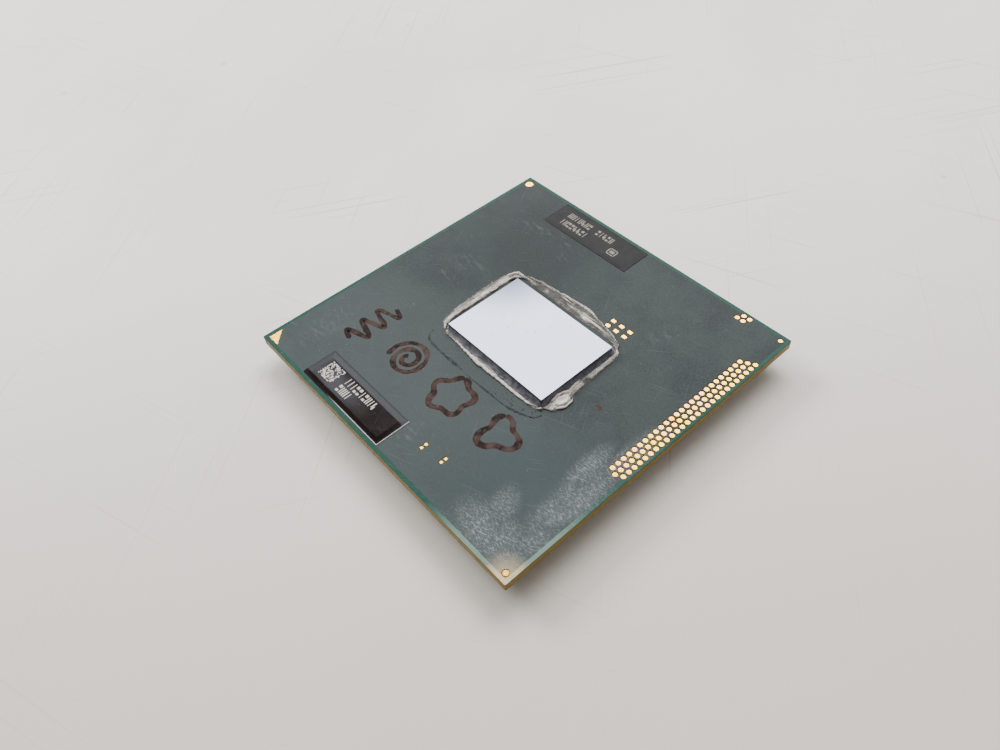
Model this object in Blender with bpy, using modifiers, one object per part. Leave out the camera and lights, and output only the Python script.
"""Bare-die processor in a 988-pin grid-array package, standing on its pins.

The package is a laminate: a glass-epoxy core between two build-up layers, a copper plane and a
solder mask. The silicon die is soldered face down on top and held by an underfill fillet. Gold
lands, two marking panels and a pin-one mark share the top with it. Underneath stand the pins, in
four banks around a cavity that holds the bypass capacitors.

Run it with: blender --background --python part.py
Metres, +Z up. The origin is the middle of the package, on the plane of the pin tips. The pin-one
corner is at -X +Y.
"""

import math

import bmesh
import bpy
from mathutils import Matrix, Vector

MM = 0.001

# Pin field. Its pitch and margin set the side of the package.
PIN_ROWS = 36
PIN_COLUMNS = 35
PIN_PITCH = 1.0 * MM
PIN_EDGE_MARGIN = 1.25 * MM
PIN_LENGTH = 2.03 * MM
PIN_WIDTH = 0.27 * MM
CAVITY_ROWS = 18
CAVITY_COLUMNS = 15
KEYED_PINS = 2
BANK_GAP = 0.1 * MM

# Laminate, from the underside up. The core takes what the other layers leave.
PACKAGE_SIDE = (PIN_ROWS - 1) * PIN_PITCH + 2 * PIN_EDGE_MARGIN
PACKAGE_CORNER = 0.1 * MM
PACKAGE_THICKNESS = 1.0 * MM
MASK_THICKNESS = 0.04 * MM
BUILDUP_THICKNESS = 0.12 * MM
PLANE_THICKNESS = 0.03 * MM
PLANE_MARGIN = 0.4 * MM
PLANE_CORNER = 0.5 * MM
LAYER_GAP = 0.01 * MM
OPENING_OVERSHOOT = 0.02 * MM
WELD_DISTANCE = 0.0001 * MM

# Silicon die, its solder bumps and the epoxy around it.
DIE_WIDTH = 9.5 * MM
DIE_LENGTH = 13.7 * MM
DIE_THICKNESS = 0.75 * MM
DIE_CENTRE_X = 0.43 * MM
DIE_CENTRE_Y = -0.80 * MM
DIE_EDGE_CHAMFER = 0.02 * MM
BUMP_HEIGHT = 0.07 * MM
BUMP_INSET = 0.2 * MM
DIE_CLEARANCE = 0.02 * MM
UNDERFILL_TOE = 0.4 * MM
UNDERFILL_CREST = 0.12 * MM
UNDERFILL_HEIGHT = 0.55 * MM
RESIDUE_GAP = 0.05 * MM
RESIDUE_HEIGHT = 0.3 * MM
RESIDUE_WIDTH_WEST = 0.55 * MM
RESIDUE_WIDTH_EAST = 1.65 * MM
RESIDUE_WIDTH_NORTH = 1.35 * MM
RESIDUE_WIDTH_SOUTH = 1.15 * MM

# Gold lands, seen through openings in the mask. Margins run from a side of the package to the
# near edge of the land.
LAND_THICKNESS = 0.06 * MM
LAND_CLEARANCE = 0.05 * MM
LAND_SIDES = 12
TEST_LAND_DIAMETER = 0.58 * MM
TEST_LAND_SPACE = 0.125 * MM
TEST_LAND_ROW_SPACE = 0.055 * MM
TEST_LAND_COUNTS = (27, 27, 26)
TEST_LAND_SOUTH_MARGIN = 0.26 * MM
TEST_LAND_EAST_MARGIN = 4.66 * MM
TEST_LAND_LINK = 0.12 * MM
TEST_LAND_ARC_STEPS = 3
CORNER_LAND_EAST_MARGIN = 0.25 * MM
CORNER_LAND_SOUTH_MARGIN = 4.31 * MM
CORNER_LAND_COLUMN_SPACE = 0.04 * MM
SQUARE_PAD_WIDTH = 0.43 * MM
SQUARE_PAD_LENGTH = 0.55 * MM
SQUARE_PAD_SPACE_X = 0.42 * MM
SQUARE_PAD_SPACE_Y = 0.56 * MM
SQUARE_PADS_EAST_OF_DIE = 2.82 * MM
SQUARE_PADS_NORTH_OF_DIE_END = 0.63 * MM
SMALL_PAD_SIDE = 0.33 * MM
SMALL_PAD_SPACE = 0.19 * MM
SMALL_PAD_WEST_MARGINS = (3.2 * MM, 3.5 * MM)
SMALL_PAD_SOUTH_MARGINS = (14.97 * MM, 12.51 * MM)
FIDUCIALS = {
    "fiducial_northeast": (1, 1, 0.45 * MM, 0.35 * MM, 1.1 * MM),
    "fiducial_southwest": (-1, -1, 0.43 * MM, 0.43 * MM, 0.65 * MM),
    "fiducial_southeast": (1, -1, 0.48 * MM, 0.48 * MM, 0.55 * MM),
}
PIN_ONE_MARGIN = 0.5 * MM
PIN_ONE_LEG = 1.5 * MM

# Marking panels, one along the west side and one along the east side.
PANEL_WIDTH = 3.85 * MM
PANEL_LENGTH = 12.35 * MM
PANEL_THICKNESS = 0.04 * MM
PANEL_EDGE = 0.47 * MM
PANEL_CENTRE_Y = 5.6 * MM

# Bypass capacitors in the cavity.
CAPACITOR_COLUMNS = 4
CAPACITOR_ROWS = 5
CAPACITOR_LENGTH = 1.6 * MM
CAPACITOR_WIDTH = 0.8 * MM
CAPACITOR_HEIGHT = 0.7 * MM
CAPACITOR_TERMINAL = 0.3 * MM
CAPACITOR_STEP = 0.03 * MM
CAPACITOR_SOLDER = 0.02 * MM

# Heights of the layers above the pin tips.
HALF_SIDE = PACKAGE_SIDE / 2
SEAT_Z = PIN_LENGTH
LOWER_BUILDUP_Z = SEAT_Z + MASK_THICKNESS + LAYER_GAP
CORE_Z = LOWER_BUILDUP_Z + BUILDUP_THICKNESS + LAYER_GAP
TOP_Z = SEAT_Z + PACKAGE_THICKNESS
UPPER_MASK_Z = TOP_Z - MASK_THICKNESS
PLANE_Z = UPPER_MASK_Z - LAYER_GAP - PLANE_THICKNESS
UPPER_BUILDUP_Z = PLANE_Z - LAYER_GAP - BUILDUP_THICKNESS
CORE_THICKNESS = UPPER_BUILDUP_Z - LAYER_GAP - CORE_Z
DIE_Z = TOP_Z + BUMP_HEIGHT
SURFACE_Z = TOP_Z + LAYER_GAP
CAVITY_WIDTH = CAVITY_COLUMNS * PIN_PITCH
CAVITY_LENGTH = CAVITY_ROWS * PIN_PITCH
TEST_LAND_PITCH = TEST_LAND_DIAMETER + TEST_LAND_SPACE


def clear_scene():
    """Removes whatever the file opened with."""
    for obj in list(bpy.data.objects):
        bpy.data.objects.remove(obj)


def make_material(name, colour, roughness, metallic=0.0):
    """A plain Principled material in the real part's colour."""
    material = bpy.data.materials.new(name)
    material.use_nodes = True
    shader = material.node_tree.nodes["Principled BSDF"]
    shader.inputs["Base Color"].default_value = (*colour, 1.0)
    shader.inputs["Roughness"].default_value = roughness
    shader.inputs["Metallic"].default_value = metallic
    return material


def add_object(name, data, material, collection):
    """Links new data as one named sub-part."""
    obj = bpy.data.objects.new(name, data)
    if not data.materials:
        data.materials.append(material)
    collection.objects.link(obj)
    return obj


def rectangle(centre_x, centre_y, width, length):
    """Corners of a rectangle, counter-clockwise."""
    return [
        (centre_x + sx * width / 2, centre_y + sy * length / 2)
        for sx, sy in ((-1, -1), (1, -1), (1, 1), (-1, 1))
    ]


def circle(centre_x, centre_y, diameter, sides=LAND_SIDES):
    """Corners of a regular polygon round a circle's centre."""
    turns = [2 * math.pi * (i + 0.5) / sides for i in range(sides)]
    return [
        (centre_x + diameter / 2 * math.cos(t), centre_y + diameter / 2 * math.sin(t))
        for t in turns
    ]


def chamfered_square(side, corner):
    """A square with its four corners cut by a small flat."""
    half, inner = side / 2, side / 2 - corner
    points = []
    for sx, sy in ((1, 1), (-1, 1), (-1, -1), (1, -1)):
        pair = [(sx * half, sy * inner), (sx * inner, sy * half)]
        points += pair if sx * sy > 0 else pair[::-1]
    return points


def add_sheet(name, loops, bottom, thickness, material, collection):
    """A flat layer of one thickness. A loop inside another loop is an opening in it."""
    curve = bpy.data.curves.new(name, "CURVE")
    curve.dimensions = "2D"
    curve.fill_mode = "BOTH"
    curve.extrude = thickness / 2
    for loop in loops:
        spline = curve.splines.new("POLY")
        spline.points.add(len(loop) - 1)
        for point, (x, y) in zip(spline.points, loop):
            point.co = (x, y, 0, 1)
        spline.use_cyclic_u = True
    obj = add_object(name, curve, material, collection)
    obj.location.z = bottom + thickness / 2
    return obj


def to_mesh(obj):
    """Turns a curve object into a welded mesh object, which a Boolean can use."""
    bpy.context.view_layer.update()
    evaluated = obj.evaluated_get(bpy.context.evaluated_depsgraph_get())
    mesh = bpy.data.meshes.new_from_object(evaluated)
    bm = bmesh.new()
    bm.from_mesh(mesh)
    bmesh.ops.remove_doubles(bm, verts=bm.verts, dist=WELD_DISTANCE)
    bm.to_mesh(mesh)
    bm.free()
    name, collection = obj.name, obj.users_collection[0]
    place = obj.matrix_world.copy()
    bpy.data.objects.remove(obj)
    solid = add_object(name, mesh, mesh.materials[0], collection)
    solid.matrix_world = place
    return solid


def add_block(name, size, centre, material, collection):
    """A box made from the cube primitive, with its size in its mesh."""
    bm = bmesh.new()
    bmesh.ops.create_cube(bm, size=1)
    bmesh.ops.scale(bm, vec=Vector(size), verts=bm.verts)
    mesh = bpy.data.meshes.new(name)
    bm.to_mesh(mesh)
    bm.free()
    obj = add_object(name, mesh, material, collection)
    obj.location = centre
    return obj


def land_positions():
    """Every single land as {name: (outline, outline of the mask opening)}."""
    lands = {}

    def add(name, shape, x, y, *size):
        opening = [s + 2 * LAND_CLEARANCE for s in size]
        lands[name] = (shape(x, y, *size), shape(x, y, *opening))

    for name, (side_x, side_y, margin_x, margin_y, diameter) in FIDUCIALS.items():
        x = side_x * (HALF_SIDE - margin_x - diameter / 2)
        y = side_y * (HALF_SIDE - margin_y - diameter / 2)
        add(name, circle, x, y, diameter)
    for i in range(4):
        column, row = i // 2, i % 2
        column_step = TEST_LAND_DIAMETER + CORNER_LAND_COLUMN_SPACE
        x = HALF_SIDE - CORNER_LAND_EAST_MARGIN - TEST_LAND_DIAMETER / 2 - column * column_step
        y = CORNER_LAND_SOUTH_MARGIN + TEST_LAND_DIAMETER / 2 - HALF_SIDE
        y += (row + column / 2) * TEST_LAND_PITCH
        add(f"corner_land_{i + 1}", circle, x, y, TEST_LAND_DIAMETER)
    east_of_die = DIE_CENTRE_X + DIE_WIDTH / 2
    south_of_die = DIE_CENTRE_Y - DIE_LENGTH / 2
    for i in range(6):
        x = east_of_die + SQUARE_PADS_EAST_OF_DIE
        x += (i % 2 - 0.5) * (SQUARE_PAD_WIDTH + SQUARE_PAD_SPACE_X)
        y = south_of_die + SQUARE_PADS_NORTH_OF_DIE_END
        y += i // 2 * (SQUARE_PAD_LENGTH + SQUARE_PAD_SPACE_Y)
        add(f"square_pad_{i + 1}", rectangle, x, y, SQUARE_PAD_WIDTH, SQUARE_PAD_LENGTH)
    for i in range(4):
        pair, place = i // 2, i % 2
        x = SMALL_PAD_WEST_MARGINS[pair] + SMALL_PAD_SIDE / 2 - HALF_SIDE
        x += place * (SMALL_PAD_SIDE + SMALL_PAD_SPACE)
        y = SMALL_PAD_SOUTH_MARGINS[pair] + SMALL_PAD_SIDE / 2 - HALF_SIDE
        add(f"small_pad_{i + 1}", rectangle, x, y, SMALL_PAD_SIDE, SMALL_PAD_SIDE)
    return lands


def pin_one_outline(clearance):
    """The right-angled triangle in the pin-one corner, grown by a clearance all round."""
    x = PIN_ONE_MARGIN - HALF_SIDE - clearance
    y = HALF_SIDE - PIN_ONE_MARGIN + clearance
    leg = PIN_ONE_LEG + clearance * (2 + math.sqrt(2))
    return [(x, y), (x, y - leg), (x + leg, y)]


def test_land_rows():
    """Each row of round test lands as (first x, y, count), from the south edge inwards."""
    rows = []
    radius = TEST_LAND_DIAMETER / 2
    for row, count in enumerate(TEST_LAND_COUNTS):
        last_x = HALF_SIDE - TEST_LAND_EAST_MARGIN - radius - row / 2 * TEST_LAND_PITCH
        y = TEST_LAND_SOUTH_MARGIN + radius - HALF_SIDE
        y += row * (TEST_LAND_DIAMETER + TEST_LAND_ROW_SPACE)
        rows.append((last_x - (count - 1) * TEST_LAND_PITCH, y, count))
    return rows


def beaded_outline(first_x, y, count):
    """One loop round a row of lands that a narrow copper link joins."""
    radius = TEST_LAND_DIAMETER / 2
    link = math.asin(TEST_LAND_LINK / TEST_LAND_DIAMETER)
    sweep = (math.pi - 2 * link) / TEST_LAND_ARC_STEPS
    points = []
    for side in (-1, 1):
        lands = range(count) if side < 0 else reversed(range(count))
        for i in lands:
            for step in range(TEST_LAND_ARC_STEPS + 1):
                turn = link + step * sweep
                x = first_x + i * TEST_LAND_PITCH + side * radius * math.cos(turn)
                points.append((x, y + side * radius * math.sin(turn)))
    return points


def test_land_window():
    """The mask opening that the three rows of test lands share."""
    rows = test_land_rows()
    reach = TEST_LAND_DIAMETER / 2 + LAND_CLEARANCE
    west = min(first for first, _, _ in rows) - reach
    east = max(first + (count - 1) * TEST_LAND_PITCH for first, _, count in rows) + reach
    south, north = rows[0][1] - reach, rows[-1][1] + reach
    return rectangle((west + east) / 2, (south + north) / 2, east - west, north - south)


def cut(obj, cutter):
    """Takes the cutter's shape out of a sub-part."""
    modifier = obj.modifiers.new(cutter.name, "BOOLEAN")
    modifier.operation = "DIFFERENCE"
    modifier.solver = "EXACT"
    modifier.object = cutter


def add_laminate(materials, collection, helpers):
    """Core, build-up layers, copper plane and solder masks."""
    outline = chamfered_square(PACKAGE_SIDE, PACKAGE_CORNER)
    bumps = rectangle(
        DIE_CENTRE_X,
        DIE_CENTRE_Y,
        DIE_WIDTH - 2 * BUMP_INSET + 2 * DIE_CLEARANCE,
        DIE_LENGTH - 2 * BUMP_INSET + 2 * DIE_CLEARANCE,
    )
    plane = chamfered_square(PACKAGE_SIDE - 2 * PLANE_MARGIN, PLANE_CORNER)
    pin_field = rectangle(
        0,
        0,
        PIN_COLUMNS * PIN_PITCH + BANK_GAP,
        PIN_ROWS * PIN_PITCH + BANK_GAP,
    )
    cavity_floor = rectangle(0, 0, CAVITY_WIDTH - BANK_GAP, CAVITY_LENGTH - BANK_GAP)
    layers = (
        ("lower_mask_rim", [outline, pin_field], SEAT_Z, MASK_THICKNESS, "mask"),
        ("lower_mask_centre", [cavity_floor], SEAT_Z, MASK_THICKNESS, "mask"),
        ("lower_buildup", [outline], LOWER_BUILDUP_Z, BUILDUP_THICKNESS, "buildup"),
        ("substrate_core", [outline], CORE_Z, CORE_THICKNESS, "core"),
        ("upper_buildup", [outline], UPPER_BUILDUP_Z, BUILDUP_THICKNESS, "buildup"),
        ("upper_copper_plane", [plane], PLANE_Z, PLANE_THICKNESS, "copper"),
        ("upper_solder_mask", [outline, bumps], UPPER_MASK_Z, MASK_THICKNESS, "mask"),
    )
    sheets = {}
    for name, loops, bottom, thickness, slot in layers:
        sheets[name] = add_sheet(name, loops, bottom, thickness, materials[slot], collection)

    openings = [opening for _, opening in land_positions().values()]
    openings += [pin_one_outline(LAND_CLEARANCE), test_land_window()]
    bottom = PLANE_Z - OPENING_OVERSHOOT
    depth = TOP_Z + OPENING_OVERSHOOT - bottom
    cutter = add_sheet("land_openings", openings, bottom, depth, materials["mask"], helpers)
    cutter = to_mesh(cutter)
    cutter.hide_render = True
    cutter.display_type = "WIRE"
    cut(to_mesh(sheets["upper_copper_plane"]), cutter)
    cut(to_mesh(sheets["upper_solder_mask"]), cutter)


def add_lands(gold, collection):
    """Gold-plated lands on the upper build-up, with their faces just below the mask's top."""
    for name, (outline, _) in land_positions().items():
        add_sheet(name, [outline], PLANE_Z, LAND_THICKNESS, gold, collection)
    add_sheet(
        "pin_one_mark", [pin_one_outline(0)], PLANE_Z, LAND_THICKNESS, gold, collection
    )
    for row, (first_x, y, count) in enumerate(test_land_rows()):
        name = f"test_land_row_{row + 1}"
        outline = beaded_outline(first_x, y, count)
        add_sheet(name, [outline], PLANE_Z, LAND_THICKNESS, gold, collection)


def add_die(materials, collection):
    """The silicon, its bump layer, the underfill fillet round it and the paste round that."""
    centre = (DIE_CENTRE_X, DIE_CENTRE_Y, DIE_Z + DIE_THICKNESS / 2)
    size = (DIE_WIDTH, DIE_LENGTH, DIE_THICKNESS)
    die = add_block("silicon_die", size, centre, materials["silicon"], collection)
    chamfer = die.modifiers.new("edge", "BEVEL")
    chamfer.width = DIE_EDGE_CHAMFER
    chamfer.segments = 1

    bump_outline = rectangle(
        DIE_CENTRE_X,
        DIE_CENTRE_Y,
        DIE_WIDTH - 2 * BUMP_INSET,
        DIE_LENGTH - 2 * BUMP_INSET,
    )
    bump_thickness = DIE_Z - LAYER_GAP - UPPER_MASK_Z
    add_sheet(
        "solder_bump_layer",
        [bump_outline],
        UPPER_MASK_Z,
        bump_thickness,
        materials["solder"],
        collection,
    )

    inner = (DIE_WIDTH + 2 * DIE_CLEARANCE, DIE_LENGTH + 2 * DIE_CLEARANCE)
    toe = (inner[0] + 2 * UNDERFILL_TOE, inner[1] + 2 * UNDERFILL_TOE)
    crest = (inner[0] + 2 * UNDERFILL_CREST, inner[1] + 2 * UNDERFILL_CREST)
    add_sloping_ring(
        "underfill_fillet", inner, toe, crest, UNDERFILL_HEIGHT, (0, 0), materials["epoxy"], collection
    )

    paste_inner = (toe[0] + 2 * RESIDUE_GAP, toe[1] + 2 * RESIDUE_GAP)
    paste_outer = (
        paste_inner[0] + RESIDUE_WIDTH_WEST + RESIDUE_WIDTH_EAST,
        paste_inner[1] + RESIDUE_WIDTH_NORTH + RESIDUE_WIDTH_SOUTH,
    )
    shift = (
        (RESIDUE_WIDTH_EAST - RESIDUE_WIDTH_WEST) / 2,
        (RESIDUE_WIDTH_NORTH - RESIDUE_WIDTH_SOUTH) / 2,
    )
    paste_crest = (
        (paste_inner[0] + paste_outer[0]) / 2,
        (paste_inner[1] + paste_outer[1]) / 2,
    )
    add_sloping_ring(
        "thermal_paste_residue",
        paste_inner,
        paste_outer,
        paste_crest,
        RESIDUE_HEIGHT,
        shift,
        materials["paste"],
        collection,
    )


def add_sloping_ring(name, inner, toe, crest, height, shift, material, collection):
    """A rectangular ring round the die: upright inside, and sloping outside from toe to crest."""
    sections = (
        (inner, 0, (0, 0)),
        (toe, 0, shift),
        (crest, height, (shift[0] / 2, shift[1] / 2)),
        (inner, height, (0, 0)),
    )
    bm = bmesh.new()
    loops = []
    for size, z, offset in sections:
        corners = rectangle(DIE_CENTRE_X + offset[0], DIE_CENTRE_Y + offset[1], *size)
        loops.append([bm.verts.new((x, y, SURFACE_Z + z)) for x, y in corners])
    for first, second in zip(loops, loops[1:] + loops[:1]):
        for i in range(4):
            bm.faces.new((first[i - 1], first[i], second[i], second[i - 1]))
    bmesh.ops.recalc_face_normals(bm, faces=bm.faces)
    mesh = bpy.data.meshes.new(name)
    bm.to_mesh(mesh)
    bm.free()
    return add_object(name, mesh, material, collection)


def add_marking_panels(materials, collection):
    """Ink panels that take the laser marks: glossy on the west side, and dull on the east."""
    reach = HALF_SIDE - PANEL_EDGE - PANEL_WIDTH / 2
    panels = (
        ("marking_panel_west", -reach, "gloss_ink"),
        ("marking_panel_east", reach, "dull_ink"),
    )
    for name, x, slot in panels:
        outline = rectangle(x, PANEL_CENTRE_Y, PANEL_WIDTH, PANEL_LENGTH)
        add_sheet(name, [outline], SURFACE_Z, PANEL_THICKNESS, materials[slot], collection)


def add_pin_bank(name, columns, rows, centre, missing, material, collection):
    """A block of pins standing on one thin land plate. missing holds the (column, row) of the
    places left empty, counted from the west and from the north."""
    bm = bmesh.new()
    bmesh.ops.create_grid(bm, x_segments=columns, y_segments=rows, size=0.5)
    extent = Vector((columns * PIN_PITCH, rows * PIN_PITCH, 1))
    bmesh.ops.scale(bm, vec=extent, verts=bm.verts)

    # A copy of the grid, moved up, closes the plate.
    top = bmesh.ops.extrude_face_region(bm, geom=bm.faces[:])["geom"]
    top_verts = [v for v in top if isinstance(v, bmesh.types.BMVert)]
    bmesh.ops.translate(bm, vec=(0, 0, MASK_THICKNESS), verts=top_verts)

    # Each cell under the plate is inset to the pin's section and drawn down to its tip.
    cells = []
    for face in bm.faces:
        middle = face.calc_center_median()
        if abs(middle.z) > MASK_THICKNESS / 4 or abs(face.normal.z) < 0.5:
            continue
        place = (
            round(middle.x / PIN_PITCH + (columns - 1) / 2),
            round((rows - 1) / 2 - middle.y / PIN_PITCH),
        )
        if place not in missing:
            cells.append(face)
    inset = (PIN_PITCH - PIN_WIDTH) / 2
    bmesh.ops.inset_individual(bm, faces=cells, thickness=inset)
    tips = bmesh.ops.extrude_discrete_faces(bm, faces=cells)["faces"]
    tip_verts = list({v for face in tips for v in face.verts})
    bmesh.ops.translate(bm, vec=(0, 0, -PIN_LENGTH), verts=tip_verts)

    # The plate's border is drawn in, so that it clears its neighbours.
    for vert in bm.verts:
        for axis in (0, 1):
            if abs(vert.co[axis]) > extent[axis] / 2 - PIN_PITCH / 4:
                vert.co[axis] -= math.copysign(BANK_GAP / 2, vert.co[axis])
    bmesh.ops.recalc_face_normals(bm, faces=bm.faces)
    mesh = bpy.data.meshes.new(name)
    bm.to_mesh(mesh)
    bm.free()
    bank = add_object(name, mesh, material, collection)
    bank.location = (*centre, SEAT_Z)
    return bank


def add_pins(gold, collection):
    """Four banks of pins round the cavity. The key is the empty places in the pin-one corner."""
    end_rows = (PIN_ROWS - CAVITY_ROWS) // 2
    side_columns = (PIN_COLUMNS - CAVITY_COLUMNS) // 2
    end_y = (CAVITY_LENGTH + end_rows * PIN_PITCH) / 2
    side_x = (CAVITY_WIDTH + side_columns * PIN_PITCH) / 2
    key = [(0, row) for row in range(KEYED_PINS)]
    banks = (
        ("pin_bank_north", PIN_COLUMNS, end_rows, (0, end_y), key),
        ("pin_bank_south", PIN_COLUMNS, end_rows, (0, -end_y), []),
        ("pin_bank_west", side_columns, CAVITY_ROWS, (-side_x, 0), []),
        ("pin_bank_east", side_columns, CAVITY_ROWS, (side_x, 0), []),
    )
    for name, columns, rows, centre, missing in banks:
        add_pin_bank(name, columns, rows, centre, missing, gold, collection)


def capacitor_mesh(material, helpers):
    """One chip capacitor: a ceramic block between two slightly larger terminals."""
    body_size = (
        CAPACITOR_LENGTH - 2 * CAPACITOR_STEP,
        CAPACITOR_WIDTH - 2 * CAPACITOR_STEP,
        CAPACITOR_HEIGHT - 2 * CAPACITOR_STEP,
    )
    body = add_block("capacitor_body", body_size, (0, 0, 0), material, helpers)
    blocks = [body]
    for side in (-1, 1):
        x = side * (CAPACITOR_LENGTH - CAPACITOR_TERMINAL) / 2
        size = (CAPACITOR_TERMINAL, CAPACITOR_WIDTH, CAPACITOR_HEIGHT)
        terminal = add_block("capacitor_terminal", size, (x, 0, 0), material, helpers)
        blocks.append(terminal)
        join = body.modifiers.new("terminal", "BOOLEAN")
        join.operation = "UNION"
        join.solver = "EXACT"
        join.object = terminal
    bpy.context.view_layer.update()
    evaluated = body.evaluated_get(bpy.context.evaluated_depsgraph_get())
    mesh = bpy.data.meshes.new_from_object(evaluated)
    mesh.name = "capacitor"
    for block in blocks:
        bpy.data.objects.remove(block)
    return mesh


def add_capacitors(material, collection, helpers):
    """Bypass capacitors in a regular grid on the cavity's floor."""
    mesh = capacitor_mesh(material, helpers)
    step_x = CAVITY_WIDTH / CAPACITOR_COLUMNS
    step_y = CAVITY_LENGTH / CAPACITOR_ROWS
    z = SEAT_Z - CAPACITOR_SOLDER - CAPACITOR_HEIGHT / 2
    for i in range(CAPACITOR_COLUMNS * CAPACITOR_ROWS):
        column, row = i % CAPACITOR_COLUMNS, i // CAPACITOR_COLUMNS
        x = (column - (CAPACITOR_COLUMNS - 1) / 2) * step_x
        y = ((CAPACITOR_ROWS - 1) / 2 - row) * step_y
        name = f"bypass_capacitor_{i + 1:02d}"
        capacitor = add_object(name, mesh, material, collection)
        capacitor.matrix_world = Matrix.Translation((x, y, z))


def main():
    clear_scene()
    processor = bpy.data.collections.new("processor")
    helpers = bpy.data.collections.new("helpers")
    for collection in (processor, helpers):
        bpy.context.scene.collection.children.link(collection)
    helpers.hide_render = True
    materials = {
        "core": make_material("glass_epoxy_core", (0.36, 0.26, 0.09), 0.55),
        "buildup": make_material("buildup_resin", (0.42, 0.32, 0.12), 0.45),
        "copper": make_material("copper_plane", (0.72, 0.42, 0.28), 0.4, 1.0),
        "mask": make_material("solder_mask", (0.10, 0.15, 0.14), 0.35),
        "silicon": make_material("polished_silicon", (0.62, 0.66, 0.72), 0.08, 1.0),
        "solder": make_material("solder", (0.65, 0.65, 0.66), 0.4, 1.0),
        "epoxy": make_material("underfill_epoxy", (0.08, 0.08, 0.09), 0.25),
        "paste": make_material("dried_paste", (0.62, 0.60, 0.58), 0.7),
        "gold": make_material("gold_plating", (0.93, 0.76, 0.45), 0.25, 1.0),
        "gloss_ink": make_material("glossy_marking_ink", (0.05, 0.045, 0.05), 0.08),
        "dull_ink": make_material("dull_marking_ink", (0.09, 0.09, 0.10), 0.45),
        "ceramic": make_material("capacitor_ceramic", (0.42, 0.30, 0.20), 0.5),
    }
    add_laminate(materials, processor, helpers)
    add_lands(materials["gold"], processor)
    add_die(materials, processor)
    add_marking_panels(materials, processor)
    add_pins(materials["gold"], processor)
    add_capacitors(materials["ceramic"], processor, helpers)


main()
